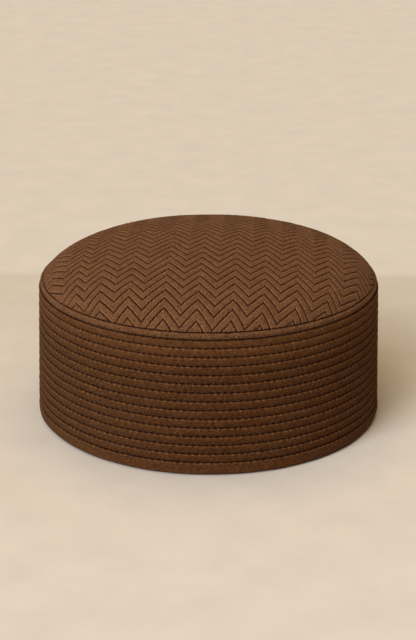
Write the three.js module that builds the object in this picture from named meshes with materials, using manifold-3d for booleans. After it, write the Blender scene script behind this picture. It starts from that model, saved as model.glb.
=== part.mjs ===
// A round, stiff prayer cap of plain brown cloth, of the kind called a kufi or taqiyah.
// Four sewn pieces: a low domed crown quilted in chevrons, a padded piping along its seam,
// a side band quilted in level ribs, and the turned-up hem that the cap stands on.
// Millimetres, +Z up, the front towards -Y. The hem rests on z = 0 and the axis is x = y = 0.

import * as THREE from "three";
import { mergeVertices } from "three/addons/utils/BufferGeometryUtils.js";
import Module from "manifold-3d";

const wasm = await Module();
wasm.setup();

// Driving dimensions: the head, the cloth and the rows of stitching
const HEAD_CIRCUMFERENCE = 580; // inside the hem
const BAND_TAPER = 1.95; // the band's top lies this far in from its foot, all round
const CLOTH_THICKNESS = 2.0; // the padded layers, pressed flat along a stitched row
const RIB_PUFF = 1.1; // how far the padding swells out between two rows
const RIB_ROUNDING = 0.3; // share of a rib's height that curves in, at each of its edges
const RIB_COUNT = 14;
const RIB_PITCH = 4.75;
const HEM_HEIGHT = 7.5;
const PIPING_DIAMETER = 4.3;
const PIPING_INSET = 1.8; // from the band's top groove in to the middle of the piping
const PIPING_LIFT = 1.6; // from the band's top edge up to the middle of the piping
const SEAM_ANGLE = THREE.MathUtils.degToRad(64); // where the crown meets the piping, up from level
const CROWN_RISE = 14.5; // of the low dome, above its rounded shoulder
const SHOULDER_RISE = 7.2;
const SHOULDER_POWER = 12.5; // a higher power bends the shoulder tighter
const CROWN_THICKNESS = 2.4;
const SEAM_GAP = 0.3; // two sewn pieces lie this far apart

// The quilting on the crown, measured flat on the cloth
const CHEVRON_WIDTH = 17.45; // from peak to peak, across the cap
const CHEVRON_HEIGHT = 12.0; // from valley to peak, front to back
const CHEVRON_ROW = 7.15; // from one stitched line to the next
const CHEVRON_TURN = THREE.MathUtils.degToRad(2.7); // the cloth was cut a little off square
const CHEVRON_START = { across: -3.2, along: -2.5 }; // across to a peak, along to a line's middle
const CHEVRON_PUFF = 0.7;
const QUILTING_END = 4; // the quilting grows shallow over this way, towards the seam

const ROUND_STEPS = 56; // facets around the cap
const PIPING_STEPS = 8; // facets around the piping's own section
const DOME_STEPS = 8; // facets from the middle to the rim, under the crown
const FACET_ERROR = 0.2; // the crown's facets lie about this close to the true curve

// Worked out from them
const BAND_TOP = HEM_HEIGHT + RIB_COUNT * RIB_PITCH;

function innerRadius(height) {
  return HEAD_CIRCUMFERENCE / (2 * Math.PI) - (BAND_TAPER * height) / BAND_TOP;
}

function grooveRadius(height) {
  return innerRadius(height) + CLOTH_THICKNESS;
}

function ribRadius(height) {
  return grooveRadius(height) + RIB_PUFF;
}

const PIPING_RADIUS = grooveRadius(BAND_TOP) - PIPING_INSET;
const PIPING_Z = BAND_TOP + PIPING_LIFT;
const PIPING_TOP = PIPING_Z + (PIPING_DIAMETER / 2) * Math.cos(Math.PI / PIPING_STEPS);
const SEAM_RADIUS = PIPING_RADIUS + (PIPING_DIAMETER / 2) * Math.cos(SEAM_ANGLE);
const SEAM_Z = PIPING_Z + (PIPING_DIAMETER / 2) * Math.sin(SEAM_ANGLE);
const CROWN_RADIUS = SEAM_RADIUS - 2 * SEAM_GAP;
const CROWN_SEAT = PIPING_TOP + SEAM_GAP;

// Cloth colours
const BROWN = 0x6b4a31;
const DARK_BROWN = 0x5a3c26;

function clothMesh(name, geometry, colour) {
  const material = new THREE.MeshStandardMaterial({ color: colour, roughness: 0.95, metalness: 0 });
  const mesh = new THREE.Mesh(geometry, material);
  mesh.name = name;
  return mesh;
}

function bareGeometry(geometry) {
  geometry.deleteAttribute("normal");
  geometry.deleteAttribute("uv");
  return mergeVertices(geometry, 1e-4);
}

// Turns a profile of [radius, height] points round the Z axis. The points run anticlockwise,
// seen with the axis on the left, so that the faces point out.
function turned(points) {
  const profile = points.map(([radius, height]) => new THREE.Vector2(radius, height));
  const lathe = new THREE.LatheGeometry(profile, ROUND_STEPS);
  lathe.rotateX(Math.PI / 2);
  return bareGeometry(lathe);
}

function turnedRing(points) {
  return turned([...points, points[0]]);
}

// Height of the crown's outer cloth over the seam, as a low dome with a rounded shoulder
function domeHeight(radius) {
  const share = radius / SEAM_RADIUS;
  return SEAM_Z + CROWN_RISE * (1 - share ** 2) + SHOULDER_RISE * (1 - share ** SHOULDER_POWER);
}

// The way along the dome's cloth from its middle to each of many radii
const DOME_SAMPLES = 400;
const domeWay = [0];
for (let i = 1; i <= DOME_SAMPLES; i += 1) {
  const inner = (SEAM_RADIUS * (i - 1)) / DOME_SAMPLES;
  const outer = (SEAM_RADIUS * i) / DOME_SAMPLES;
  domeWay.push(domeWay[i - 1] + Math.hypot(outer - inner, domeHeight(outer) - domeHeight(inner)));
}
const DOME_LENGTH = domeWay[DOME_SAMPLES];

// Past the seam the cloth runs straight on at the shoulder's last slope, and the crown's round
// cutter takes that away.
const RIM_SLOPE = Math.atan((2 * CROWN_RISE + SHOULDER_POWER * SHOULDER_RISE) / SEAM_RADIUS);

// Radius and height of the point that lies a given way along the cloth from the middle
function alongCloth(way) {
  if (way >= DOME_LENGTH) {
    const past = way - DOME_LENGTH;
    return [SEAM_RADIUS + past * Math.cos(RIM_SLOPE), SEAM_Z - past * Math.sin(RIM_SLOPE)];
  }
  const next = domeWay.findIndex((length) => length > way);
  const share = (way - domeWay[next - 1]) / (domeWay[next] - domeWay[next - 1]);
  const radius = (SEAM_RADIUS * (next - 1 + share)) / DOME_SAMPLES;
  return [radius, domeHeight(radius)];
}

// 0 at a chevron's peak and 1 in its valley
function zigzag(across) {
  const turns = (across - CHEVRON_START.across) / CHEVRON_WIDTH;
  return 2 * Math.abs(turns - Math.round(turns));
}

// Lays a point of the flat quilted cloth on the dome. Even half rows are stitched lines, sunk by
// the depth of the quilting there, and odd ones are the crests of the padding between them.
function onDome(across, halfRow) {
  const row = CHEVRON_START.along + (halfRow * CHEVRON_ROW) / 2;
  const along = row - CHEVRON_HEIGHT * (zigzag(across) - 0.5);
  const x = across * Math.cos(CHEVRON_TURN) + along * Math.sin(CHEVRON_TURN);
  const y = along * Math.cos(CHEVRON_TURN) - across * Math.sin(CHEVRON_TURN);
  const way = Math.max(Math.hypot(x, y), 1e-6);
  const [radius, height] = alongCloth(way);
  const inland = THREE.MathUtils.clamp((DOME_LENGTH - way) / QUILTING_END, 0, 1);
  const depth = halfRow % 2 === 0 ? CHEVRON_PUFF * inland : 0;
  return [(x * radius) / way, (y * radius) / way, height - depth];
}

// How many straight steps one leg of a chevron takes to follow the dome
function legSteps(from, to, halfRow) {
  const start = onDome(from, halfRow)[2];
  const end = onDome(to, halfRow)[2];
  let bulge = 0;
  for (const share of [0.25, 0.5, 0.75]) {
    const height = onDome(from + (to - from) * share, halfRow)[2];
    bulge = Math.max(bulge, Math.abs(height - start - (end - start) * share));
  }
  return Math.max(1, Math.ceil(Math.sqrt(bulge / FACET_ERROR)));
}

// Fills the strip between two lines of points with triangles, taking the next point from the
// line that lags behind
function zip(faces, lower, upper) {
  let i = 0;
  let j = 0;
  while (i < lower.length - 1 || j < upper.length - 1) {
    const lowerNext = (i + 1) / (lower.length - 1);
    const upperNext = (j + 1) / (upper.length - 1);
    if (lowerNext <= upperNext) {
      faces.push(lower[i], lower[i + 1], upper[j]);
      i += 1;
    } else {
      faces.push(lower[i], upper[j + 1], upper[j]);
      j += 1;
    }
  }
}

// A thick slab whose top is the quilted dome, wider than the crown all round, and whose
// underside is level
function quiltedSlab() {
  const legWidth = CHEVRON_WIDTH / 2;
  const legCount = Math.ceil(DOME_LENGTH / legWidth) + 1;
  const halfRows = 2 * Math.ceil((DOME_LENGTH + CHEVRON_HEIGHT / 2) / CHEVRON_ROW) + 2;
  const points = [];
  const legs = [];
  for (let row = -halfRows; row <= halfRows; row += 1) {
    const legsOfRow = [];
    points.push(onDome(CHEVRON_START.across - legCount * legWidth, row));
    for (let leg = -legCount; leg < legCount; leg += 1) {
      const from = CHEVRON_START.across + leg * legWidth;
      const steps = legSteps(from, from + legWidth, row);
      const corners = [points.length - 1];
      for (let step = 1; step <= steps; step += 1) {
        points.push(onDome(from + (legWidth * step) / steps, row));
        corners.push(points.length - 1);
      }
      legsOfRow.push(corners);
    }
    legs.push(legsOfRow);
  }

  const top = [];
  for (let row = 0; row < legs.length - 1; row += 1) {
    for (let leg = 0; leg < legs[row].length; leg += 1) {
      zip(top, legs[row][leg], legs[row + 1][leg]);
    }
  }
  const count = points.length;
  const base = [...top].reverse().map((index) => index + count);

  const edge = [
    ...legs[0].flatMap((corners) => corners.slice(0, -1)),
    ...legs.map((row) => row.at(-1).at(-1)),
    ...legs.at(-1).flatMap((corners) => corners.slice(1)).reverse().slice(1),
    ...legs.slice(1).map((row) => row[0][0]).reverse(),
  ];
  const sides = [];
  for (let i = 0; i < edge.length; i += 1) {
    const a = edge[i];
    const b = edge[(i + 1) % edge.length];
    sides.push(a, a + count, b, b, a + count, b + count);
  }

  const heights = points.flatMap(([x, y, z]) => [x, y, z]);
  const floor = points.flatMap(([x, y]) => [x, y, 0]);
  const geometry = new THREE.BufferGeometry();
  geometry.setAttribute("position", new THREE.Float32BufferAttribute([...heights, ...floor], 3));
  geometry.setIndex([...top, ...base, ...sides]);
  return geometry;
}

// The space that the crown may fill: above its smooth underside, which lies level on the piping
// at the rim, and inside its round edge
function crownEnvelope() {
  const underside = [];
  for (let i = 0; i <= DOME_STEPS; i += 1) {
    const radius = PIPING_RADIUS * Math.sin((i / DOME_STEPS) * (Math.PI / 2));
    underside.push([radius, Math.max(domeHeight(radius) - CROWN_THICKNESS, CROWN_SEAT)]);
  }
  const above = 2 * domeHeight(0);
  return turned([...underside, [CROWN_RADIUS, CROWN_SEAT], [CROWN_RADIUS, above], [0, above]]);
}

function toManifold(geometry) {
  return new wasm.Manifold(
    new wasm.Mesh({
      numProp: 3,
      vertProperties: new Float32Array(geometry.attributes.position.array),
      triVerts: new Uint32Array(geometry.index.array),
    }),
  );
}

function fromManifold(solid) {
  const mesh = solid.getMesh();
  const geometry = new THREE.BufferGeometry();
  geometry.setAttribute("position", new THREE.Float32BufferAttribute(mesh.vertProperties, 3));
  geometry.setIndex(new THREE.Uint32BufferAttribute(mesh.triVerts, 1));
  return geometry;
}

// The crown is cut round from the quilted cloth and shaped over a block into a shell.
function crown() {
  const shell = toManifold(quiltedSlab()).intersect(toManifold(crownEnvelope()));
  return clothMesh("crown", fromManifold(shell), BROWN);
}

// The piping is a soft cord covered in the same cloth, sewn between the crown and the band.
function edgePiping() {
  const section = [];
  for (let i = 0; i < PIPING_STEPS; i += 1) {
    const angle = ((i + 0.5) / PIPING_STEPS) * 2 * Math.PI;
    section.push([
      PIPING_RADIUS + (PIPING_DIAMETER / 2) * Math.cos(angle),
      PIPING_Z + (PIPING_DIAMETER / 2) * Math.sin(angle),
    ]);
  }
  return clothMesh("edge_piping", turnedRing(section), BROWN);
}

// The side band leans in a little towards its top and is smooth inside. Outside, each level row
// of stitches pulls a groove and the padding swells between the rows. Its top edge is tucked
// under the piping.
function sideBand() {
  const bottom = HEM_HEIGHT + SEAM_GAP / 2;
  const brim = BAND_TOP - 2 * SEAM_GAP;
  const tucked = PIPING_Z - PIPING_DIAMETER / 2 - SEAM_GAP;
  const rounding = RIB_PITCH * RIB_ROUNDING;
  const section = [[innerRadius(bottom), bottom]];
  for (let i = 0; i < RIB_COUNT; i += 1) {
    const groove = Math.max(HEM_HEIGHT + i * RIB_PITCH, bottom);
    const ribLow = HEM_HEIGHT + i * RIB_PITCH + rounding;
    const ribHigh = HEM_HEIGHT + (i + 1) * RIB_PITCH - rounding;
    section.push([grooveRadius(groove), groove]);
    section.push([ribRadius(ribLow), ribLow]);
    section.push([ribRadius(ribHigh), ribHigh]);
  }
  section.push([grooveRadius(brim), brim]);
  section.push([grooveRadius(tucked) - CLOTH_THICKNESS / 2, tucked]);
  section.push([innerRadius(tucked), tucked]);
  return clothMesh("side_band", turnedRing(section), DARK_BROWN);
}

// The hem is the band's lower edge, turned up and held by the lowest row of stitches. The fold
// is round outside and inside, with a narrow flat between that the cap stands on.
function bottomHem() {
  const top = HEM_HEIGHT - SEAM_GAP / 2;
  const foldInside = 0.1 * HEM_HEIGHT;
  const foldOutside = 0.13 * HEM_HEIGHT;
  const bellyLow = 0.42 * HEM_HEIGHT;
  const bellyHigh = 0.75 * HEM_HEIGHT;
  const flatStart = innerRadius(0) + 0.1 * CLOTH_THICKNESS;
  const flatEnd = innerRadius(0) + 0.5 * CLOTH_THICKNESS;
  const section = [
    [flatStart, 0],
    [flatEnd, 0],
    [grooveRadius(foldOutside) + 0.1 * CLOTH_THICKNESS, foldOutside],
    [ribRadius(bellyLow), bellyLow],
    [ribRadius(bellyHigh), bellyHigh],
    [grooveRadius(top), top],
    [innerRadius(top), top],
    [innerRadius(foldInside), foldInside],
  ];
  return clothMesh("bottom_hem", turnedRing(section), DARK_BROWN);
}

const cap = new THREE.Group();
cap.add(crown(), edgePiping(), sideBand(), bottomHem());

export default cap;
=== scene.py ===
# A round, stiff prayer cap of plain brown cloth: a low crown quilted in chevrons, a padded piping
# round its seam, a side band quilted in level ribs, and a turned-up hem. It stands on a pale floor.

import math

import bmesh
import bpy
import numpy as np
from mathutils import Matrix, Vector


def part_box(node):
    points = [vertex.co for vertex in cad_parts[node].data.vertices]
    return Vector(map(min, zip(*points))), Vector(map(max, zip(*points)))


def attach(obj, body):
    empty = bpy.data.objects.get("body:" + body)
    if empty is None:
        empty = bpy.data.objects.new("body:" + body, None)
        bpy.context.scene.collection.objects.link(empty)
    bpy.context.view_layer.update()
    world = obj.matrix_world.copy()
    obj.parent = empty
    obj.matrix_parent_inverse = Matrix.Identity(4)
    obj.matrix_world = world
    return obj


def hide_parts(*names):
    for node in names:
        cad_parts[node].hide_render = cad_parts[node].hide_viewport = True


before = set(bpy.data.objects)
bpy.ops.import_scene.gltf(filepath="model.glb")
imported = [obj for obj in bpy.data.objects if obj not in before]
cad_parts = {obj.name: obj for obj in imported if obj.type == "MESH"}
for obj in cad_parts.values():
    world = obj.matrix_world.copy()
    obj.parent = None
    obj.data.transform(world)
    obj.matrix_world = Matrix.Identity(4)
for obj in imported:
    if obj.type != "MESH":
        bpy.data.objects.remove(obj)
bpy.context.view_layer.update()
MM = 0.001

# The camera stands before the cap and looks down on it at the photograph's angle, with the long
# lens that the photograph's even rows of stitching call for.

FOCAL_LENGTH_PIXELS = 1558
IMAGE_HEIGHT_PIXELS = 640
CAMERA_PLACE = Vector((-0.0003, -0.8145, 0.3547))
CAMERA_DOWN = math.radians(20.52)
CAMERA_ROLL = math.radians(0.12)

camera_data = bpy.data.cameras.new("camera")
camera_data.sensor_width = 36
camera_data.lens = FOCAL_LENGTH_PIXELS / IMAGE_HEIGHT_PIXELS * camera_data.sensor_width
camera = bpy.data.objects.new("camera", camera_data)
bpy.context.collection.objects.link(camera)
camera.matrix_world = (
    Matrix.Translation(CAMERA_PLACE)
    @ Matrix.Rotation(math.pi / 2 - CAMERA_DOWN, 4, "X")
    @ Matrix.Rotation(CAMERA_ROLL, 4, "Z")
)
bpy.context.scene.camera = camera

# The studio: a sheet of pale paper, two soft lamps in front on the left, one above the other, and a
# wider one almost overhead. The crown is bright, and the band darkens and throws shade to the right.

FLOOR_SIZE = 6.0
FLOOR_ROUGHNESS = 0.85
# The paper's colour is painted light and shade: lit in front, painted darker and warmer towards the
# back where less light falls, and paler again past a narrow bend, painted as the lit far wall
PAPER_PAINTED_LIT_NEAR = (0.662, 0.584, 0.500)
PAPER_PAINTED_SHADED_FAR = (0.567, 0.491, 0.387)
PAPER_PAINTED_LIT_BEHIND = (0.624, 0.549, 0.458)
# Metres behind the cap's middle
NEAR_AT = -0.21
FAR_AT = 0.19
BEND_AT = 0.224
BEND_WIDTH = 0.010
PAPER_CLOUDS = 0.05
CLOUD_SIZE = 0.03
CLOUD_DETAIL = 4
NOISE_ROUGHNESS = 0.6
COOL_LIGHT = (0.92, 1.0, 1.12)
WARM_LIGHT = (1.21, 1.0, 0.73)
# In degrees, how far round to the left from the front each lamp stands, how high and how wide
LAMPS = {
    "low_lamp": {"from_left": 41, "height": 31, "spread": 28, "strength": 1.45, "colour": COOL_LIGHT},
    "high_lamp": {"from_left": 34, "height": 50, "spread": 32, "strength": 1.42, "colour": COOL_LIGHT},
    "top_lamp": {"from_left": 180, "height": 84, "spread": 60, "strength": 1.32, "colour": WARM_LIGHT},
}
FILL_COLOUR = (1.35, 1.0, 0.6, 1)
FILL_STRENGTH = 0.09
FAR_WALL_COLOUR = (0.72, 0.62, 0.50, 1)

bpy.ops.mesh.primitive_plane_add(size=FLOOR_SIZE)
floor = bpy.context.object
floor.name = "floor"
floor_material = bpy.data.materials.new("pale_floor")
floor_material.use_nodes = True
floor_tree = floor_material.node_tree
floor_shader = floor_tree.nodes["Principled BSDF"]
floor_shader.inputs["Roughness"].default_value = FLOOR_ROUGHNESS
floor_place = floor_tree.nodes.new("ShaderNodeTexCoord").outputs["Object"]
floor_split = floor_tree.nodes.new("ShaderNodeSeparateXYZ")
floor_tree.links.new(floor_place, floor_split.inputs[0])


def uneven_noise(tree, vector, size, detail):
    """A soft, uneven pattern between 0 and 1, with patches of about a size"""
    noise = tree.nodes.new("ShaderNodeTexNoise")
    noise.inputs["Scale"].default_value = 1 / size
    noise.inputs["Detail"].default_value = detail
    noise.inputs["Roughness"].default_value = NOISE_ROUGHNESS
    tree.links.new(vector, noise.inputs["Vector"])
    return noise.outputs[0]


def paper_mix(start, end, first, second):
    """Goes from one colour to another between two distances behind the cap"""
    share = floor_tree.nodes.new("ShaderNodeMapRange")
    floor_tree.links.new(floor_split.outputs["Y"], share.inputs["Value"])
    share.inputs["From Min"].default_value = start
    share.inputs["From Max"].default_value = end
    mix = floor_tree.nodes.new("ShaderNodeMix")
    mix.data_type = "RGBA"
    floor_tree.links.new(share.outputs[0], mix.inputs["Factor"])
    for name, colour in (("A", first), ("B", second)):
        if isinstance(colour, tuple):
            mix.inputs[name].default_value = (*colour, 1)
        else:
            floor_tree.links.new(colour, mix.inputs[name])
    return mix.outputs["Result"]


# Painted light and shade on the paper, from front to back and past the bend
paper = paper_mix(NEAR_AT, FAR_AT, PAPER_PAINTED_LIT_NEAR, PAPER_PAINTED_SHADED_FAR)
paper = paper_mix(BEND_AT - BEND_WIDTH / 2, BEND_AT + BEND_WIDTH / 2, paper, PAPER_PAINTED_LIT_BEHIND)
clouds = floor_tree.nodes.new("ShaderNodeMapRange")
cloud_noise = uneven_noise(floor_tree, floor_place, CLOUD_SIZE, CLOUD_DETAIL)
floor_tree.links.new(cloud_noise, clouds.inputs["Value"])
clouds.inputs["To Min"].default_value = 1 - 2 * PAPER_CLOUDS
clouds.inputs["To Max"].default_value = 1 + 2 * PAPER_CLOUDS
clouded = floor_tree.nodes.new("ShaderNodeVectorMath")
clouded.operation = "SCALE"
floor_tree.links.new(paper, clouded.inputs[0])
floor_tree.links.new(clouds.outputs[0], clouded.inputs["Scale"])
floor_tree.links.new(clouded.outputs[0], floor_shader.inputs["Base Color"])
floor.data.materials.append(floor_material)

for lamp_name, setting in LAMPS.items():
    lamp_data = bpy.data.lights.new(lamp_name, "SUN")
    lamp_data.energy = setting["strength"]
    lamp_data.color = setting["colour"]
    lamp_data.angle = math.radians(setting["spread"])
    lamp = bpy.data.objects.new(lamp_name, lamp_data)
    bpy.context.collection.objects.link(lamp)
    turned = Matrix.Rotation(math.radians(-setting["from_left"]), 4, "Z")
    raised = Matrix.Rotation(math.radians(90 - setting["height"]), 4, "X")
    lamp.matrix_world = turned @ raised

# The room is dim, so that the lamps shape the cap, but its far wall shows pale beyond the floor
world = bpy.data.worlds.new("studio")
world.use_nodes = True
room_tree = world.node_tree
room_light = room_tree.nodes["Background"]
room_light.inputs["Color"].default_value = FILL_COLOUR
room_light.inputs["Strength"].default_value = FILL_STRENGTH
far_wall = room_tree.nodes.new("ShaderNodeBackground")
far_wall.inputs["Color"].default_value = FAR_WALL_COLOUR
room = room_tree.nodes.new("ShaderNodeMixShader")
seen = room_tree.nodes.new("ShaderNodeLightPath").outputs["Is Camera Ray"]
room_tree.links.new(seen, room.inputs[0])
room_tree.links.new(room_light.outputs[0], room.inputs[1])
room_tree.links.new(far_wall.outputs[0], room.inputs[2])
room_tree.links.new(room.outputs[0], room_tree.nodes["World Output"].inputs["Surface"])
bpy.context.scene.world = world
bpy.context.scene.view_settings.view_transform = "Standard"

# The crown is a disc of padded brown cloth, machine-quilted in chevrons and then pressed over a
# block into a low dome. Its edge turns down into the seam, just inside the piping. The quilting is
# guided by hand, so that the lines' turning points are a little uneven.

CROWN_RISE = 14.8 * MM
SHOULDER_RISE = 7.4 * MM
SHOULDER_POWER = 12.5
CROWN_THICKNESS = 2.4 * MM
CROWN_LEAN = 1.5 * MM
PIPING_DIAMETER = 4.3 * MM
SOLID_PIPING_SIDES = 8
PIPING_SINKS = 0.5 * MM
SEAM_ANGLE = math.radians(64)
RIM_INSET = 0.1 * MM
RIM_DROP = 0.15 * MM
DOME_SAMPLES = 600
TINY = 1e-9
UPRIGHT = 1e3
CHEVRON_ROW = 7.15 * MM
CHEVRON_TURN = math.radians(2.7)
CHEVRON_PUFF = 0.55 * MM
LEG_WIDTH = 8.72 * MM
LEG_RISE = 12.0 * MM
LEG_LENGTH = math.hypot(LEG_WIDTH, LEG_RISE)
LEG_STITCHES = 7
FIRST_LEG = -8
EVEN_LEGS = 6
# Millimetres across and along the cloth, by turns a peak and a valley, from the left
TURNING_POINTS = [
    (-69.2, 2.5), (-64.1, -6.1), (-55.2, 4.5), (-47.0, -6.8), (-39.3, 2.2), (-31.7, -9.1),
    (-20.2, 5.1), (-11.3, -8.0), (-2.9, 3.0), (5.9, -9.2), (15.2, 4.0), (23.0, -6.7), (30.8, 4.5),
    (39.3, -7.0), (48.0, 5.3), (57.1, -7.0), (65.1, 4.7), (73.7, -7.2),
]

# The piping sits round the solid's, a little lower. The solid's has few sides, with flats outwards.
piping_low, piping_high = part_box("edge_piping")
PIPING_Z = (piping_low.z + piping_high.z) / 2 - PIPING_SINKS
PIPING_RADIUS = piping_high.x - PIPING_DIAMETER / 2 * math.cos(math.pi / SOLID_PIPING_SIDES)
SEAM_RADIUS = PIPING_RADIUS + PIPING_DIAMETER / 2 * math.cos(SEAM_ANGLE)
SEAM_Z = PIPING_Z + PIPING_DIAMETER / 2 * math.sin(SEAM_ANGLE)
RIM_RADIUS = SEAM_RADIUS - RIM_INSET


def dome_height(radius):
    share = radius / SEAM_RADIUS
    rise = CROWN_RISE * (1 - share**2) + SHOULDER_RISE * (1 - share**SHOULDER_POWER)
    return SEAM_Z + rise


def dome_slope(radius):
    share = radius / SEAM_RADIUS
    fall = 2 * CROWN_RISE * share + SHOULDER_POWER * SHOULDER_RISE * share ** (SHOULDER_POWER - 1)
    return fall / SEAM_RADIUS


# The way along the cloth from the middle of the dome to each radius
dome_radii = np.linspace(0, RIM_RADIUS, DOME_SAMPLES)
dome_steps = np.hypot(np.diff(dome_radii), np.diff(dome_height(dome_radii)))
dome_ways = np.concatenate([[0], np.cumsum(dome_steps)])
RIM_WAY = dome_ways[-1]
CLOTH_WAY = RIM_WAY + RIM_DROP

# Past the given turning points the legs go on evenly
turn_leg = np.arange(FIRST_LEG - EVEN_LEGS, FIRST_LEG + len(TURNING_POINTS) + EVEN_LEGS)
given_across, given_along = np.array(TURNING_POINTS).T * MM
steps = np.arange(1, EVEN_LEGS + 1)
turn_across = np.concatenate([
    given_across[0] - steps[::-1] * LEG_WIDTH, given_across, given_across[-1] + steps * LEG_WIDTH,
])
turn_along = np.concatenate([
    given_along[steps[::-1] % 2], given_along, given_along[-1 - steps % 2],
])


def on_line(leg, row):
    """Flat places on the cloth, from the way along the legs and the number of the line"""
    across = np.interp(leg, turn_leg, turn_across)
    along = row * CHEVRON_ROW + np.interp(leg, turn_leg, turn_along)
    x = across * math.cos(CHEVRON_TURN) + along * math.sin(CHEVRON_TURN)
    y = along * math.cos(CHEVRON_TURN) - across * math.sin(CHEVRON_TURN)
    return x, y


def quilting(x, y):
    """The way along the legs and the number of the line at flat places on the cloth"""
    across = x * math.cos(CHEVRON_TURN) - y * math.sin(CHEVRON_TURN)
    along = y * math.cos(CHEVRON_TURN) + x * math.sin(CHEVRON_TURN)
    leg = np.interp(across, turn_across, turn_leg)
    return leg, (along - np.interp(leg, turn_leg, turn_along)) / CHEVRON_ROW


RIPPLE_WAVES = 12
RIPPLE_SUM = 4
RIPPLE_SPREAD = (0.6, 1.6)


def ripple(points, wavelength, seed):
    """A smooth unevenness between about -1 and 1 over points in space"""
    random = np.random.default_rng(seed)
    total = np.zeros(len(points))
    for _ in range(RIPPLE_WAVES):
        direction = random.normal(size=3)
        direction /= np.linalg.norm(direction)
        length = wavelength * random.uniform(*RIPPLE_SPREAD)
        phase = random.uniform(0, 2 * math.pi)
        total += np.sin(points @ direction * (2 * math.pi / length) + phase)
    return total / RIPPLE_SUM


def on_dome(flat, depth):
    """Lays flat points of the crown's cloth on the dome, sunk by a depth. Past the dome's edge
    the cloth turns straight down into the seam."""
    way = np.maximum(np.hypot(flat[:, 0], flat[:, 1]), TINY)
    radius = np.interp(way, dome_ways, dome_radii)
    slope = np.where(way <= RIM_WAY, dome_slope(radius), UPRIGHT)
    height = dome_height(radius) - np.maximum(way - RIM_WAY, 0)
    outward = flat / way[:, None]
    length = np.hypot(slope, 1)
    inward = depth * slope / length
    down = depth / length
    places = outward * (radius - inward)[:, None]
    return np.column_stack([places, height - down])


# Rows of points close up towards each stitched line, where the cloth bends most
ROW_SHARES = np.array([0, 0.05, 0.11, 0.2, 0.34, 0.5, 0.66, 0.8, 0.89, 0.95])
LEG_POINTS = 14
CUT_TOLERANCE = 1e-6

line_count = math.ceil((CLOTH_WAY + LEG_RISE) / CHEVRON_ROW) + 1
line_rows = (np.arange(-line_count, line_count)[:, None] + ROW_SHARES).ravel()
leg_columns = np.arange(turn_leg[0] * LEG_POINTS, turn_leg[-1] * LEG_POINTS + 1) / LEG_POINTS
legs, rows = np.meshgrid(leg_columns, line_rows)
flat_x, flat_y = on_line(legs.ravel(), rows.ravel())
grid = np.arange(legs.size).reshape(legs.shape)
quads = np.stack([grid[:-1, :-1], grid[:-1, 1:], grid[1:, 1:], grid[1:, :-1]], axis=-1)
quads = quads.reshape(-1, 4)
near = np.hypot(flat_x, flat_y)[quads].min(axis=1) < CLOTH_WAY
used, quads = np.unique(quads[near], return_inverse=True)
flat_points = np.column_stack([flat_x[used], flat_y[used], np.zeros(len(used))])

crown_mesh = bpy.data.meshes.new("crown_cloth")
crown_mesh.from_pydata(flat_points.tolist(), [], quads.reshape(-1, 4).tolist())


def cut_round(bm, limit):
    """Cuts a flat cloth round, a given way from its middle"""
    outside = {vertex: vertex.co.length > limit for vertex in bm.verts}
    corners = []
    for edge in list(bm.edges):
        inner, outer = edge.verts
        if outside[inner] == outside[outer]:
            continue
        if outside[inner]:
            inner, outer = outer, inner
        share = (limit - inner.co.length) / (outer.co.length - inner.co.length)
        corners.append(bmesh.utils.edge_split(edge, inner, share)[1])
        corners[-1].co = corners[-1].co.normalized() * limit
    bmesh.ops.connect_verts(bm, verts=corners)
    rest = [v for v in bm.verts if v.co.length > limit * (1 + CUT_TOLERANCE)]
    bmesh.ops.delete(bm, geom=rest, context="VERTS")


def run_cloth(bm, edges, path):
    """Carries the cloth on from its open edges through rings of a given radius and height"""
    for radius, height in path:
        made = bmesh.ops.extrude_edge_only(bm, edges=edges)["geom"]
        edges = [item for item in made if isinstance(item, bmesh.types.BMEdge)]
        for vertex in [item for item in made if isinstance(item, bmesh.types.BMVert)]:
            outward = Vector((vertex.co.x, vertex.co.y, 0)).normalized()
            vertex.co = outward * radius + Vector((0, 0, height))
    return edges


def flat_uv(place):
    """Where a place on the crown's underside lies on the flat cloth"""
    radius = math.hypot(place.x, place.y)
    way = np.interp(radius, dome_radii, dome_ways)
    return Vector(place[:2]) * (way / max(radius, TINY))


# Each line's groove, the pull of its stitches, and the cloth's own unevenness
GROOVE_DEPTH = 0.75
GROOVE_POWER = 6
PULL_DEPTH = 0.15
PULL_WIDTH = 0.2
FLAT_EDGE_WIDTH = 3 * MM
FLAT_EDGE_DEPTH = 0.15
SLOW_RIPPLE = 0.14 * MM
SLOW_LENGTH = 30 * MM
QUICK_RIPPLE = 0.06 * MM
QUICK_LENGTH = 7 * MM

bm = bmesh.new()
bm.from_mesh(crown_mesh)
cut_round(bm, CLOTH_WAY)
flat = np.array([v.co[:2] for v in bm.verts])
way = np.hypot(flat[:, 0], flat[:, 1])
legs, lines = quilting(flat[:, 0], flat[:, 1])
from_line = 2 * np.abs(lines - np.round(lines))
pull = PULL_DEPTH * np.cos(2 * math.pi * LEG_STITCHES * legs) * np.exp(-from_line / PULL_WIDTH)
groove = GROOVE_DEPTH * (1 - from_line) ** GROOVE_POWER
inland = np.clip((RIM_WAY - way) / FLAT_EDGE_WIDTH, 0, 1)
depth = CHEVRON_PUFF * (groove + pull) * (FLAT_EDGE_DEPTH + (1 - FLAT_EDGE_DEPTH) * inland)
places = on_dome(flat, depth)
uneven = SLOW_RIPPLE * ripple(places, SLOW_LENGTH, seed=3)
uneven += QUICK_RIPPLE * ripple(places, QUICK_LENGTH, seed=4)
places[:, 2] += uneven * inland
risen = np.clip((places[:, 2] - SEAM_Z) / (CROWN_RISE + SHOULDER_RISE), 0, 1)
places[:, 0] += CROWN_LEAN * np.sqrt(risen)
cloth_layer = bm.loops.layers.uv.new("cloth")
quilting_layer = bm.loops.layers.uv.new("quilting")
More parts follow.
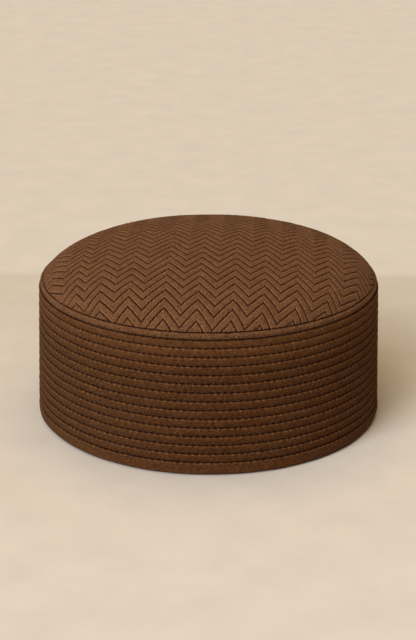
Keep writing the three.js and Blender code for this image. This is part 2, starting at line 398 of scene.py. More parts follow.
for vertex, flat_place, place, leg, line in zip(bm.verts, flat, places, legs, lines):
    vertex.co = place
    for loop in vertex.link_loops:
        loop[cloth_layer].uv = flat_place
        loop[quilting_layer].uv = (leg, line)

# The underside is plain, so its places on the quilting's map lie between two lines
BETWEEN_LINES = (0.25, 0.5)
UNDERSIDE_RINGS = 10
UNDERSIDE_RADIUS = PIPING_RADIUS - 2 * MM
TURNED_IN = 0.4 * MM
EDGE_LIFT = 0.3 * MM
EDGE_WIDTH = 1.2 * MM
upper_faces = set(bm.faces)

# Radius and height of each ring, first where the edge lies turned under on the piping
underside = [
    (SEAM_RADIUS - TURNED_IN, SEAM_Z + EDGE_LIFT / 2),
    (PIPING_RADIUS, SEAM_Z + EDGE_LIFT),
    (PIPING_RADIUS - EDGE_WIDTH, SEAM_Z + EDGE_LIFT),
]
for ring in range(UNDERSIDE_RINGS, 0, -1):
    radius = UNDERSIDE_RADIUS * math.sin(ring / UNDERSIDE_RINGS * math.pi / 2)
    underside.append((radius, dome_height(radius) - CROWN_THICKNESS))
inner_edges = run_cloth(bm, [e for e in bm.edges if e.is_boundary], underside)
last_face = bmesh.ops.contextual_create(bm, geom=inner_edges)["faces"]
centre = bmesh.ops.poke(bm, faces=last_face)["verts"][0]
centre.co.z = dome_height(0) - CROWN_THICKNESS
for face in bm.faces:
    face.smooth = True
    if face not in upper_faces:
        for loop in face.loops:
            loop[cloth_layer].uv = flat_uv(loop.vert.co)
            loop[quilting_layer].uv = BETWEEN_LINES
bmesh.ops.recalc_face_normals(bm, faces=bm.faces)
bm.to_mesh(crown_mesh)
bm.free()
crown = bpy.data.objects.new("crown_cloth", crown_mesh)
bpy.context.collection.objects.link(crown)

# The cloth's finish: a matte, felted brown with a strong, fine grain. Along each stitched line a dark
# crease is painted as shade, with some of the pressed cloth's own darkening, and the needle's holes in
# it are painted darker dots of shade.

CROWN_COLOUR = (0.153, 0.0675, 0.0277)
SHADE_IN_DIPS = (0.50, 0.43, 0.36)
CREASE_WIDTH = 0.66 * MM
HOLE_WIDTH = 0.75 * MM
HOLE_DEPTH = 0.2
# A highlight is painted beside each line, on its right-hand side, stronger between the needle holes
RIDGE_AWAY = 0.75 * MM
RIDGE_WIDTH = 0.4 * MM
RIDGE_PAINTED_HIGHLIGHT = 0.25
RIDGE_PAINTED_HIGHLIGHT_BETWEEN_HOLES = 1.1
GRAIN_SIZE = 0.45 * MM
GRAIN_SHARE = 3.2
NAP_SIZE = 1.0 * MM
NAP_SHARE = 0.9
NAP_SLANT = math.radians(55)
NAP_STRETCH = 0.3
SURFACE_MIDDLE = (GRAIN_SHARE + NAP_SHARE) / 2
SURFACE_HEIGHT = 0.11
SURFACE_TONE = 0.6
MIDDLE_TONE = 0.35
DARKEST_TONE = -0.35
MOTTLE_SIZE = 9 * MM
MOTTLE_TONE = 0.3
PATCH_SIZE = 2 * MM
PATCH_CONTRAST = 3
PATCH_THRESHOLD = 0.5
CLOTH_FINISH = {
    "Roughness": 0.95,
    "Specular IOR Level": 0.06,
    "Sheen Weight": 0.04,
    "Sheen Roughness": 0.5,
    "Sheen Tint": (0.9, 0.6, 0.4, 1),
}


def calculate(tree, operation, *values):
    """One math node, with a link or a plain value for each of its inputs"""
    node = tree.nodes.new("ShaderNodeMath")
    node.operation = operation
    for socket, value in zip(node.inputs, values):
        if isinstance(value, bpy.types.NodeSocket):
            tree.links.new(value, socket)
        else:
            socket.default_value = value
    return node.outputs[0]


def chain(tree, value, *steps):
    """Puts a value through one operation after another, each with its second value if it has one"""
    for operation, *other in steps:
        value = calculate(tree, operation, value, *other)
    return value


def fall_off(tree, distance, width):
    """1 at no distance, smoothly down to 0 at a width"""
    node = tree.nodes.new("ShaderNodeMapRange")
    node.interpolation_type = "SMOOTHSTEP"
    tree.links.new(distance, node.inputs["Value"])
    node.inputs["From Min"].default_value = 0
    node.inputs["From Max"].default_value = width
    node.inputs["To Min"].default_value = 1
    node.inputs["To Max"].default_value = 0
    return node.outputs[0]


def to_nearest_whole(tree, value):
    """How far a value lies from the nearest whole number"""
    return chain(tree, value, ("SUBTRACT", calculate(tree, "ROUND", value)), ("ABSOLUTE",))


def mapped(tree, name):
    """A piece's own map by its name, as two values"""
    chart = tree.nodes.new("ShaderNodeUVMap")
    chart.uv_map = name
    split = tree.nodes.new("ShaderNodeSeparateXYZ")
    tree.links.new(chart.outputs[0], split.inputs[0])
    return split.outputs[0], split.outputs[1]


def chevron_lines(tree, u, v):
    """Distance from the nearest chevron line or the edge, where shade is painted, distance from the
    nearest needle hole along the line, and a painted highlight on the line's right-hand side"""
    leg, line = mapped(tree, "quilting")
    line_spacing = CHEVRON_ROW * LEG_WIDTH / LEG_LENGTH
    distance = calculate(tree, "MULTIPLY", to_nearest_whole(tree, line), line_spacing)
    way_square = calculate(tree, "MULTIPLY_ADD", u, u, calculate(tree, "MULTIPLY", v, v))
    way = calculate(tree, "SQRT", way_square)
    # The crown's edge at the seam is painted dark like a crease, as shade between the crown and the
    # piping
    from_seam = chain(tree, way, ("SUBTRACT", RIM_WAY), ("ABSOLUTE",))
    stitch_share = to_nearest_whole(tree, calculate(tree, "MULTIPLY", leg, LEG_STITCHES))
    hole = calculate(tree, "MULTIPLY", stitch_share, LEG_LENGTH / LEG_STITCHES)

    # The legs run up and down by turns, so the right-hand side changes with them
    rising = chain(tree, leg, ("FLOOR",), ("FLOORED_MODULO", 2), ("MULTIPLY", -2), ("ADD", 1))
    past = calculate(tree, "SUBTRACT", line, calculate(tree, "ROUND", line))
    right = calculate(tree, "MULTIPLY", past, calculate(tree, "MULTIPLY", rising, line_spacing))
    # Painted highlight beside the line, stronger between the holes
    from_ridge = chain(tree, right, ("SUBTRACT", RIDGE_AWAY), ("ABSOLUTE",))
    painted_light = calculate(
        tree, "MULTIPLY", fall_off(tree, from_ridge, RIDGE_WIDTH),
        chain(tree, stitch_share, ("MULTIPLY", RIDGE_PAINTED_HIGHLIGHT_BETWEEN_HOLES), ("ADD", RIDGE_PAINTED_HIGHLIGHT)),
    )
    return calculate(tree, "MINIMUM", distance, from_seam), hole, painted_light


def slanting_nap(tree, u, v):
    """Long, fine streaks where the brushed surface lies over at a slant"""
    cosine = math.cos(NAP_SLANT)
    sine = math.sin(NAP_SLANT)
    along = calculate(tree, "MULTIPLY_ADD", u, cosine, calculate(tree, "MULTIPLY", v, sine))
    over = calculate(tree, "MULTIPLY_ADD", v, cosine, calculate(tree, "MULTIPLY", u, -sine))
    place = tree.nodes.new("ShaderNodeCombineXYZ")
    tree.links.new(calculate(tree, "MULTIPLY", along, NAP_STRETCH), place.inputs["X"])
    tree.links.new(over, place.inputs["Y"])
    return uneven_noise(tree, place.outputs[0], NAP_SIZE, detail=2)


def cloth_material(name, colour, grain_strength, find_lines=None, crease_shade=0, hole_shade=0):
    """Each cloth has its own colour, strength of grain, and strength of the painted shade in creases
    and needle holes
    """
    material = bpy.data.materials.new(name)
    material.use_nodes = True
    tree = material.node_tree
    shader = tree.nodes["Principled BSDF"]
    for socket_name, value in CLOTH_FINISH.items():
        shader.inputs[socket_name].default_value = value

    in_space = tree.nodes.new("ShaderNodeTexCoord").outputs["Object"]
    mottle = uneven_noise(tree, in_space, MOTTLE_SIZE, detail=1)
    grain = uneven_noise(tree, in_space, GRAIN_SIZE, detail=2)
    u, v = mapped(tree, "cloth")
    nap = slanting_nap(tree, u, v)

    nap = calculate(tree, "MULTIPLY", nap, NAP_SHARE)
    surface = calculate(tree, "MULTIPLY_ADD", grain, GRAIN_SHARE, nap)
    surface = chain(tree, surface, ("SUBTRACT", SURFACE_MIDDLE), ("MULTIPLY", grain_strength))
    tone = chain(tree, surface, ("MULTIPLY", SURFACE_TONE), ("ADD", MIDDLE_TONE))
    tone = calculate(tree, "MULTIPLY_ADD", mottle, MOTTLE_TONE, tone)
    height = calculate(tree, "MULTIPLY", surface, SURFACE_HEIGHT)
    if find_lines:
        distance, hole_way, painted_light = find_lines(tree, u, v)
        # The painted light from the lines, and the band's lighter hem, comes in patches
        patchy = chain(
            tree, uneven_noise(tree, in_space, PATCH_SIZE, detail=1),
            ("MULTIPLY", PATCH_CONTRAST), ("SUBTRACT", PATCH_THRESHOLD), ("MAXIMUM", 0),
        )
        painted_light = calculate(tree, "MULTIPLY", painted_light, patchy)
        crease = fall_off(tree, distance, CREASE_WIDTH)
        hole_square = calculate(tree, "POWER", hole_way, 2)
        hole_square = calculate(tree, "MULTIPLY_ADD", distance, distance, hole_square)
        hole = fall_off(tree, calculate(tree, "SQRT", hole_square), HOLE_WIDTH)
        # Painted shade: the creases and needle holes are darkened, partly the pressed cloth's own
        # darkening
        dark = calculate(tree, "MULTIPLY", hole, hole_shade)
        dark = calculate(tree, "MULTIPLY_ADD", crease, crease_shade, dark)
        tone = calculate(tree, "SUBTRACT", calculate(tree, "ADD", tone, painted_light), dark)
        height = calculate(tree, "SUBTRACT", height, calculate(tree, "MULTIPLY", hole, HOLE_DEPTH))

    mix = tree.nodes.new("ShaderNodeMix")
    mix.data_type = "RGBA"
    mix.clamp_factor = False
    for channel, (value, shade) in enumerate(zip(colour, SHADE_IN_DIPS)):
        mix.inputs["A"].default_value[channel] = value * shade
        mix.inputs["B"].default_value[channel] = value * (2 - shade)
    tree.links.new(calculate(tree, "MAXIMUM", tone, DARKEST_TONE), mix.inputs["Factor"])
    tree.links.new(mix.outputs["Result"], shader.inputs["Base Color"])
    bump = tree.nodes.new("ShaderNodeBump")
    bump.inputs["Strength"].default_value = 1
    bump.inputs["Distance"].default_value = MM
    tree.links.new(height, bump.inputs["Height"])
    tree.links.new(bump.outputs[0], shader.inputs["Normal"])
    return material


crown_cloth = cloth_material(
    "crown_cloth", CROWN_COLOUR, grain_strength=2.0, find_lines=chevron_lines, crease_shade=0.9, hole_shade=1.35
)
crown_mesh.materials.append(crown_cloth)
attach(crown, "root")
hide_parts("crown")

# The crown's stitches are short lengths of dark brown thread that run along each chevron line,
# seven to a leg, and dive into the cloth at both ends.

CROWN_THREAD = ((0.060, 0.025, 0.010), (0.130, 0.055, 0.022))
CROWN_STITCH = 1.15 * MM
THREAD_THICKNESS = 0.38 * MM
THREAD_FINISH = {"Roughness": 0.7, "Specular IOR Level": 0.25}
STRAND_SIZE = 0.4 * MM
STRAND_HEIGHT = 0.1 * MM
SMALLEST_STITCH = 0.85
LARGEST_STITCH = 1.1
STITCH_REACH = 0.03
STITCH_SIDES = 6
STITCH_RINGS = 4
SOCKETS = {
    "Int": "NodeSocketInt",
    "Float": "NodeSocketFloat",
    "Object": "NodeSocketObject",
    "Material": "NodeSocketMaterial",
}


def new_tree(name, inputs):
    """A geometry tree with named inputs, and its input node"""
    tree = bpy.data.node_groups.new(name, "GeometryNodeTree")
    tree.interface.new_socket("Geometry", in_out="INPUT", socket_type="NodeSocketGeometry")
    tree.interface.new_socket("Geometry", in_out="OUTPUT", socket_type="NodeSocketGeometry")
    for input_name, kind in inputs.items():
        tree.interface.new_socket(input_name, in_out="INPUT", socket_type=SOCKETS[kind])
    return tree, tree.nodes.new("NodeGroupInput")


def add_node(tree, kind, settings=None, **links):
    """Adds a node, with settings as its properties and links or values for its inputs"""
    node = tree.nodes.new(kind)
    for key, value in (settings or {}).items():
        setattr(node, key, value)
    for key, value in links.items():
        socket = node.inputs[key.replace("_", " ")]
        if isinstance(value, bpy.types.NodeSocket):
            tree.links.new(value, socket)
        else:
            socket.default_value = value
    return node


def end_tree(tree, geometry, material):
    """Ends a tree with real, smooth faces in one material"""
    realized = add_node(tree, "GeometryNodeRealizeInstances", Geometry=geometry)
    smooth = add_node(tree, "GeometryNodeSetShadeSmooth", Geometry=realized.outputs[0])
    finished = add_node(tree, "GeometryNodeSetMaterial", Geometry=smooth.outputs[0], Material=material)
    add_node(tree, "NodeGroupOutput", Geometry=finished.outputs[0])


def grown(piece, tree, values):
    """Runs a geometry tree on a piece and keeps its result as a plain mesh"""
    modifier = piece.modifiers.new(tree.name, "NODES")
    modifier.node_group = tree
    for item in tree.interface.items_tree:
        if item.in_out == "INPUT" and item.name in values:
            modifier[item.identifier] = values[item.name]
    evaluated = piece.evaluated_get(bpy.context.evaluated_depsgraph_get())
    mesh = bpy.data.meshes.new_from_object(evaluated)
    piece.modifiers.remove(modifier)
    piece.data = mesh
    mesh.name = piece.name


stitch_tree, start = new_tree(
    "sewn_stitches",
    {"Cloth": "Object", "Length": "Float", "Thickness": "Float", "Seed": "Int", "Thread": "Material"},
)
cloth_surface = add_node(stitch_tree, "GeometryNodeObjectInfo", Object=start.outputs["Cloth"])
nearest = add_node(
    stitch_tree, "GeometryNodeProximity", {"target_element": "FACES"},
    Geometry=cloth_surface.outputs["Geometry"],
)
laid = add_node(
    stitch_tree, "GeometryNodeSetPosition",
    Geometry=start.outputs["Geometry"], Position=nearest.outputs["Position"],
)
ball = add_node(
    stitch_tree, "GeometryNodeMeshUVSphere", Segments=STITCH_SIDES, Rings=STITCH_RINGS, Radius=0.5
)
size = add_node(
    stitch_tree, "ShaderNodeCombineXYZ",
    X=start.outputs["Length"], Y=start.outputs["Thickness"], Z=start.outputs["Thickness"],
)
stitch_shape = add_node(
    stitch_tree, "GeometryNodeTransform", Geometry=ball.outputs["Mesh"], Scale=size.outputs[0]
)
run = add_node(
    stitch_tree, "GeometryNodeInputNamedAttribute", {"data_type": "FLOAT_VECTOR"}, Name="run"
)
aligned = add_node(
    stitch_tree, "FunctionNodeAlignRotationToVector", {"axis": "X"}, Vector=run.outputs["Attribute"]
)
varied = add_node(
    stitch_tree, "FunctionNodeRandomValue", {"data_type": "FLOAT"}, Seed=start.outputs["Seed"]
)
varied.inputs[2].default_value = SMALLEST_STITCH
varied.inputs[3].default_value = LARGEST_STITCH
sewn = add_node(
    stitch_tree, "GeometryNodeInstanceOnPoints", Points=laid.outputs[0],
    Instance=stitch_shape.outputs[0], Rotation=aligned.outputs[0], Scale=varied.outputs[1],
)
end_tree(stitch_tree, sewn.outputs[0], start.outputs["Thread"])


def thread_material(name, dark, light):
    """Twisted thread, between a dark and a light colour"""
    material = bpy.data.materials.new(name)
    material.use_nodes = True
    tree = material.node_tree
    shader = tree.nodes["Principled BSDF"]
    for socket_name, value in THREAD_FINISH.items():
        shader.inputs[socket_name].default_value = value
    in_space = tree.nodes.new("ShaderNodeTexCoord").outputs["Object"]
    strands = uneven_noise(tree, in_space, STRAND_SIZE, detail=2)
    mix = add_node(tree, "ShaderNodeMix", {"data_type": "RGBA"}, Factor=strands)
    mix.inputs["A"].default_value = (*dark, 1)
    mix.inputs["B"].default_value = (*light, 1)
    tree.links.new(mix.outputs["Result"], shader.inputs["Base Color"])
    bump = add_node(tree, "ShaderNodeBump", Strength=0.5, Distance=STRAND_HEIGHT, Height=strands)
    tree.links.new(bump.outputs[0], shader.inputs["Normal"])
    return material


def sew(name, places, runs, cloth, length, colours, seed):
    """Sews a stitch at each place, along its run, on a piece of cloth"""
    mesh = bpy.data.meshes.new(name)
    mesh.from_pydata(places.tolist(), [], [])
    direction = mesh.attributes.new("run", "FLOAT_VECTOR", "POINT")
    direction.data.foreach_set("vector", runs.ravel())
    stitches = bpy.data.objects.new(name, mesh)
    bpy.context.collection.objects.link(stitches)
    values = {
        "Cloth": cloth,
        "Length": length,
        "Thickness": THREAD_THICKNESS,
        "Seed": seed,
        "Thread": thread_material(name, *colours),
    }
    grown(stitches, stitch_tree, values)
    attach(stitches, "root")
    return stitches


stitch_legs = np.arange(turn_leg[0] * LEG_STITCHES, turn_leg[-1] * LEG_STITCHES) + 0.5
legs, rows = np.meshgrid(stitch_legs / LEG_STITCHES, np.arange(-line_count, line_count + 1))
legs = legs.ravel()
rows = rows.ravel()
on_crown = np.hypot(*on_line(legs, rows)) < RIM_WAY - CROWN_STITCH / 2
legs = legs[on_crown]
rows = rows[on_crown]
sunk = np.full(len(rows), CHEVRON_PUFF)
places = on_dome(np.column_stack(on_line(legs, rows)), sunk)
ahead = on_dome(np.column_stack(on_line(legs + STITCH_REACH, rows)), sunk)
behind = on_dome(np.column_stack(on_line(legs - STITCH_REACH, rows)), sunk)
runs = ahead - behind
crown_stitches = sew("crown_stitches", places, runs, crown, CROWN_STITCH, CROWN_THREAD, seed=5)

# The side band is three layers of cloth and padding, sewn together flat in level rows before the
# band is closed to a ring. Between two rows the padding swells to a rib, and each stitch puckers it.

HEM_HEIGHT = 7.5 * MM
RIB_COUNT = 14
RIB_PITCH = 4.75 * MM
RIB_PUFF = 0.95 * MM
RIB_ROUNDING = 0.3
CLOTH_THICKNESS = 2 * MM
BAND_TAPER = 2.35 * MM
FOOT_SPREAD = 0.3 * MM
BAND_HEIGHT = HEM_HEIGHT + RIB_COUNT * RIB_PITCH
BAND_TOP = BAND_HEIGHT - PIPING_SINKS
BAND_COLOUR = (0.0938, 0.0350, 0.0108)
ROW_SHIFT = 0.37
BAND_STITCHES = 175
BAND_STITCH = 2.1 * MM
# The band's thread is the cloth's brown, painted darker as the shade of the groove it lies in
BAND_THREAD_PAINTED_SHADED = ((0.026, 0.010, 0.004), (0.075, 0.030, 0.012))
POINTS_A_STITCH = 4
RIB_STEPS = 9
# A rib swells roundly from its lower edge, is fullest two thirds up, and falls off steeply above
SWELL_BELOW = 2.5
SWELL_ABOVE = 7
FULLNESS_BELOW = 0.6
FULLNESS_ABOVE = 0.7
PUCKER_DEPTH = 0.34 * MM
PUCKER_FALL = 3.5
UNEVENNESS = 0.5 * MM
# Sizes of the unevenness, as shares of the foot's radius
SLOW_PATCHES = 0.30
QUICK_PATCHES = 0.05
TUCK_DEPTH = 0.45 * MM
WELD_DISTANCE = 0.01 * MM

band_low, band_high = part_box("side_band")
BAND_BOTTOM = band_low.z
widest_level = HEM_HEIGHT + RIB_PITCH * RIB_ROUNDING
LEAN = BAND_TAPER / BAND_HEIGHT
FOOT_RADIUS = band_high.x - RIB_PUFF + LEAN * widest_level + FOOT_SPREAD
GIRTH = 2 * math.pi * FOOT_RADIUS


def groove_radius(height):
    return FOOT_RADIUS - LEAN * height


def inner_radius(height):
    return groove_radius(height) - CLOTH_THICKNESS


band_tree, start = new_tree(
    "quilted_band",
    {
        "Columns": "Int", "Ribs": "Int", "Rib Steps": "Int", "Stitches": "Int",
        "Foot Radius": "Float", "Lean": "Float", "Rib Pitch": "Float", "Puff": "Float",
        "Pucker": "Float", "Unevenness": "Float", "Start": "Float", "Bottom": "Float",
        "Top": "Float", "Cloth": "Material",
    },
)
given = start.outputs


def work(operation, *values):
    return calculate(band_tree, operation, *values)


rib_grid = add_node(
    band_tree, "GeometryNodeMeshGrid", Size_X=1.0, Size_Y=1.0,
    Vertices_X=given["Columns"], Vertices_Y=given["Rib Steps"],
)
flat_rib = add_node(
    band_tree, "GeometryNodeTransform",
    Geometry=rib_grid.outputs["Mesh"], Translation=(0.5, 0.5, 0),
)
rib_rows = add_node(band_tree, "GeometryNodeMeshLine", Count=given["Ribs"], Offset=(0, 1, 0))
flat_ribs = add_node(
    band_tree, "GeometryNodeInstanceOnPoints",
    Points=rib_rows.outputs[0], Instance=flat_rib.outputs[0],
)
flat_band = add_node(band_tree, "GeometryNodeRealizeInstances", Geometry=flat_ribs.outputs[0])
grid_place = add_node(band_tree, "GeometryNodeInputPosition")
flat_place = add_node(band_tree, "ShaderNodeSeparateXYZ", Vector=grid_place.outputs[0])
turn, row = flat_place.outputs[:2]
angle = work("MULTIPLY", turn, 2 * math.pi)
bend = work("COSINE", work("MULTIPLY", work("FRACT", row), math.pi))
rib_share = work("MULTIPLY", work("SUBTRACT", 1, bend), 0.5)
ribs_up = work("ADD", work("FLOOR", row), rib_share)
level = work("ADD", given["Start"], work("MULTIPLY", ribs_up, given["Rib Pitch"]))
round_place = add_node(
    band_tree, "ShaderNodeCombineXYZ",
    X=work("SINE", angle), Y=work("COSINE", angle), Z=work("DIVIDE", level, given["Foot Radius"]),
).outputs[0]
slow = work("SUBTRACT", uneven_noise(band_tree, round_place, SLOW_PATCHES, detail=1), 0.5)
quick = work("SUBTRACT", uneven_noise(band_tree, round_place, QUICK_PATCHES, detail=2), 0.5)
level = work("ADD", level, work("MULTIPLY", slow, given["Unevenness"]))
level = work("MINIMUM", work("MAXIMUM", level, given["Bottom"]), given["Top"])

side = work("ABSOLUTE", work("SUBTRACT", work("MULTIPLY", rib_share, 2), 1))
from_below = work("SUBTRACT", 1, work("POWER", work("SUBTRACT", 1, rib_share), SWELL_BELOW))
from_above = work("SUBTRACT", 1, work("POWER", rib_share, SWELL_ABOVE))
rounded_below = work("POWER", from_below, FULLNESS_BELOW)
rounded_above = work("POWER", from_above, FULLNESS_ABOVE)
swell = work("MULTIPLY", rounded_below, rounded_above)
phase = work("MULTIPLY", work("ROUND", ribs_up), ROW_SHIFT)
stitch_turns = work("ADD", work("MULTIPLY", turn, given["Stitches"]), phase)
wave = work("COSINE", work("MULTIPLY", stitch_turns, 2 * math.pi))
near_row = work("EXPONENT", work("MULTIPLY", work("SUBTRACT", side, 1), PUCKER_FALL))
pulled = work("MULTIPLY", work("MULTIPLY", wave, near_row), given["Pucker"])
swollen = work("MULTIPLY", swell, given["Puff"])
leaned = work("SUBTRACT", given["Foot Radius"], work("MULTIPLY", level, given["Lean"]))
radius = work("ADD", leaned, work("SUBTRACT", swollen, pulled))
radius = work("ADD", radius, work("MULTIPLY", quick, given["Unevenness"]))

girth = work("MULTIPLY", turn, GIRTH)
cloth_place = add_node(band_tree, "ShaderNodeCombineXYZ", X=girth, Y=level)
charted = add_node(
    band_tree, "GeometryNodeStoreNamedAttribute", {"data_type": "FLOAT2", "domain": "CORNER"},
    Geometry=flat_band.outputs[0], Name="cloth", Value=cloth_place.outputs[0],
)
rolled_place = add_node(
    band_tree, "ShaderNodeCombineXYZ",
    X=work("MULTIPLY", work("MULTIPLY", radius, -1), work("SINE", angle)),
    Y=work("MULTIPLY", radius, work("COSINE", angle)), Z=level,
)
rolled = add_node(
    band_tree, "GeometryNodeSetPosition",
    Geometry=charted.outputs[0], Position=rolled_place.outputs[0],
)
closed = add_node(
    band_tree, "GeometryNodeMergeByDistance", Geometry=rolled.outputs[0], Distance=WELD_DISTANCE
)
end_tree(band_tree, closed.outputs[0], given["Cloth"])

# The rows' painted creases of shade are a little narrower than the crown's, and the painted shade
# under the piping narrower still. The thread draws each needle hole out along its row.
LINE_SHARPNESS = 1.2
TOP_LINE_SHARPNESS = 1.8
HOLE_STRETCH = 2
# A highlight is painted just below each row, stronger between its stitches
BAND_RIDGE_BELOW = 0.6 * MM
BAND_RIDGE_WIDTH = 0.45 * MM
BAND_RIDGE_PAINTED_HIGHLIGHT = 0.15
BAND_RIDGE_PAINTED_HIGHLIGHT_BETWEEN_HOLES = 2.2
BAND_RIDGE_POWER = 5
# Painted light towards the band's top, and painted light and shade down each rib
PAINTED_LIGHT_AT_TOP = 0.4
PAINTED_LIGHT_AT_TOP_WIDTH = 20 * MM
LIGHTER_HEM = 0.5
RIB_PAINTED_LIGHT_AND_SHADE = 0.25


def level_lines(tree, u, v):
    """Distance from the nearest level row of stitches or the band's top, where shade is painted,
    distance from the nearest needle hole along the row, and the cloth's painted light: a highlight
    just below the row between its stitches, lighter upper and darker lower halves of each rib, lighter
    near the band's top; and a lighter hem"""
    ribs_up = chain(tree, v, ("SUBTRACT", HEM_HEIGHT), ("DIVIDE", RIB_PITCH))
    rows = chain(tree, ribs_up, ("ROUND",), ("MAXIMUM", 0), ("MINIMUM", RIB_COUNT - 1))
    row_height = calculate(tree, "MULTIPLY_ADD", rows, RIB_PITCH, HEM_HEIGHT)
    above = calculate(tree, "SUBTRACT", v, row_height)
    from_top = calculate(tree, "SUBTRACT", BAND_TOP, v)
    from_row = chain(tree, above, ("ABSOLUTE",), ("MULTIPLY", LINE_SHARPNESS))
    from_piping = calculate(tree, "MULTIPLY", from_top, TOP_LINE_SHARPNESS)
    distance = calculate(tree, "MINIMUM", from_row, from_piping)
    shift = calculate(tree, "MULTIPLY", rows, ROW_SHIFT)
    stitches = calculate(tree, "MULTIPLY_ADD", u, BAND_STITCHES / GIRTH, shift)
    stitch_share = to_nearest_whole(tree, stitches)
    hole = calculate(tree, "MULTIPLY", stitch_share, GIRTH / BAND_STITCHES / HOLE_STRETCH)

    # Painted highlight just below the row, stronger between the stitches
    from_ridge = chain(tree, above, ("ADD", BAND_RIDGE_BELOW), ("ABSOLUTE",))
    between = chain(
        tree, stitch_share, ("MULTIPLY", 2), ("POWER", BAND_RIDGE_POWER),
        ("MULTIPLY", BAND_RIDGE_PAINTED_HIGHLIGHT_BETWEEN_HOLES), ("ADD", BAND_RIDGE_PAINTED_HIGHLIGHT),
    )
    painted_light = calculate(tree, "MULTIPLY", fall_off(tree, from_ridge, BAND_RIDGE_WIDTH), between)
    # Painted light towards the band's top
    painted_light_and_lighter_hem = calculate(tree, "MULTIPLY", fall_off(tree, from_top, PAINTED_LIGHT_AT_TOP_WIDTH), PAINTED_LIGHT_AT_TOP)
    # The hem is lighter towards its bottom
    painted_light_and_lighter_hem = calculate(tree, "MULTIPLY_ADD", fall_off(tree, v, HEM_HEIGHT), LIGHTER_HEM, painted_light_and_lighter_hem)
    # Painted light and shade down each rib: lighter on its upper half, darker on its lower
    rib_share = chain(tree, ribs_up, ("FRACT",), ("SUBTRACT", 0.5))
    painted_light_and_lighter_hem = calculate(tree, "MULTIPLY_ADD", rib_share, RIB_PAINTED_LIGHT_AND_SHADE, painted_light_and_lighter_hem)
    return distance, hole, calculate(tree, "ADD", painted_light, painted_light_and_lighter_hem)


band_cloth = cloth_material(
    "band_cloth", BAND_COLOUR, grain_strength=2.4, find_lines=level_lines, crease_shade=0.8, hole_shade=0.8
)
band = bpy.data.objects.new("side_band_cloth", bpy.data.meshes.new("side_band_cloth"))
bpy.context.collection.objects.link(band)
grown(
    band,
    band_tree,
    {
        "Columns": BAND_STITCHES * POINTS_A_STITCH + 1,
        "Ribs": RIB_COUNT,
        "Rib Steps": RIB_STEPS + 1,
        "Stitches": BAND_STITCHES,
        "Foot Radius": FOOT_RADIUS,
        "Lean": LEAN,
        "Rib Pitch": RIB_PITCH,
        "Puff": RIB_PUFF,
        "Pucker": PUCKER_DEPTH,
        "Unevenness": UNEVENNESS,
        "Start": HEM_HEIGHT,
        "Bottom": BAND_BOTTOM,
        "Top": BAND_TOP,
        "Cloth": band_cloth,
    },
)


def level_uv(face, layer):
    """Charts a face of the wall by its way round from the back and its height"""
    angles = [math.atan2(-loop.vert.co.x, loop.vert.co.y) % (2 * math.pi) for loop in face.loops]
    for loop, angle in zip(face.loops, angles):
        if max(angles) - angle > math.pi:
            angle += 2 * math.pi
        loop[layer].uv = (angle * FOOT_RADIUS, loop.vert.co.z)


# The cloth is turned in at the top, runs down inside and is joined to its outside at the bottom
bm = bmesh.new()
bm.from_mesh(band.data)
cloth_layer = bm.loops.layers.uv["cloth"]
outer_faces = set(bm.faces)
top_edges = [e for e in bm.edges if e.is_boundary and e.verts[0].co.z > HEM_HEIGHT + RIB_PITCH]
tucked = band_high.z - TUCK_DEPTH
halfway = (tucked + BAND_BOTTOM) / 2
inside = [
    (groove_radius(tucked) - CLOTH_THICKNESS / 2, tucked),
    (inner_radius(tucked), tucked),
    (inner_radius(halfway), halfway),
    (inner_radius(BAND_BOTTOM), BAND_BOTTOM),
]
run_cloth(bm, top_edges, inside)
bottom_edges = [e for e in bm.edges if e.is_boundary]
bmesh.ops.bridge_loops(bm, edges=bottom_edges)
for face in bm.faces:
    face.smooth = True
    if face not in outer_faces:
        level_uv(face, cloth_layer)
bmesh.ops.recalc_face_normals(bm, faces=bm.faces)
bm.to_mesh(band.data)
bm.free()
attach(band, "root")
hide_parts("side_band")

stitch_turn, stitch_row = np.meshgrid(np.arange(BAND_STITCHES), np.arange(RIB_COUNT))
angles = (stitch_turn + 0.5 - stitch_row * ROW_SHIFT).ravel() * (2 * math.pi / BAND_STITCHES)
heights = HEM_HEIGHT + stitch_row.ravel() * RIB_PITCH
radii = groove_radius(heights)
places = np.column_stack([-radii * np.sin(angles), radii * np.cos(angles), heights])
runs = np.column_stack([-np.cos(angles), -np.sin(angles), np.zeros(len(angles))])
band_stitches = sew("band_stitches", places, runs, band, BAND_STITCH, BAND_THREAD_PAINTED_SHADED, seed=6)

# The hem is the band's lower edge, folded up inside and caught by the lowest row of stitches.
# The cap stands on the fold.

HEM_STEPS = 9
HEM_THICKNESS = 2.7 * MM
FOLD_HEIGHT = 4.2 * MM
FOLD_INSET = 0.3 * MM
FOLD_RADIUS = groove_radius(0) - HEM_THICKNESS + FOLD_INSET
FOLD_LIP = 0.2 * MM
HEM_GAP = 0.1 * MM
SHOULDER_SQUARENESS = 4
SHOULDER_FULLNESS = 0.6
HEM_COLUMNS = BAND_STITCHES * POINTS_A_STITCH
HEM_PUCKER = 0.22 * MM
HEM_PUCKER_WIDTH = 0.9 * MM
HEM_RIPPLE = 0.08 * MM
# Each slow wave's number of turns round the cap, its start, and its run with the height
HEM_WAVES = [(7, 1, 0), (12, 4, 0), (23, 0, 900)]


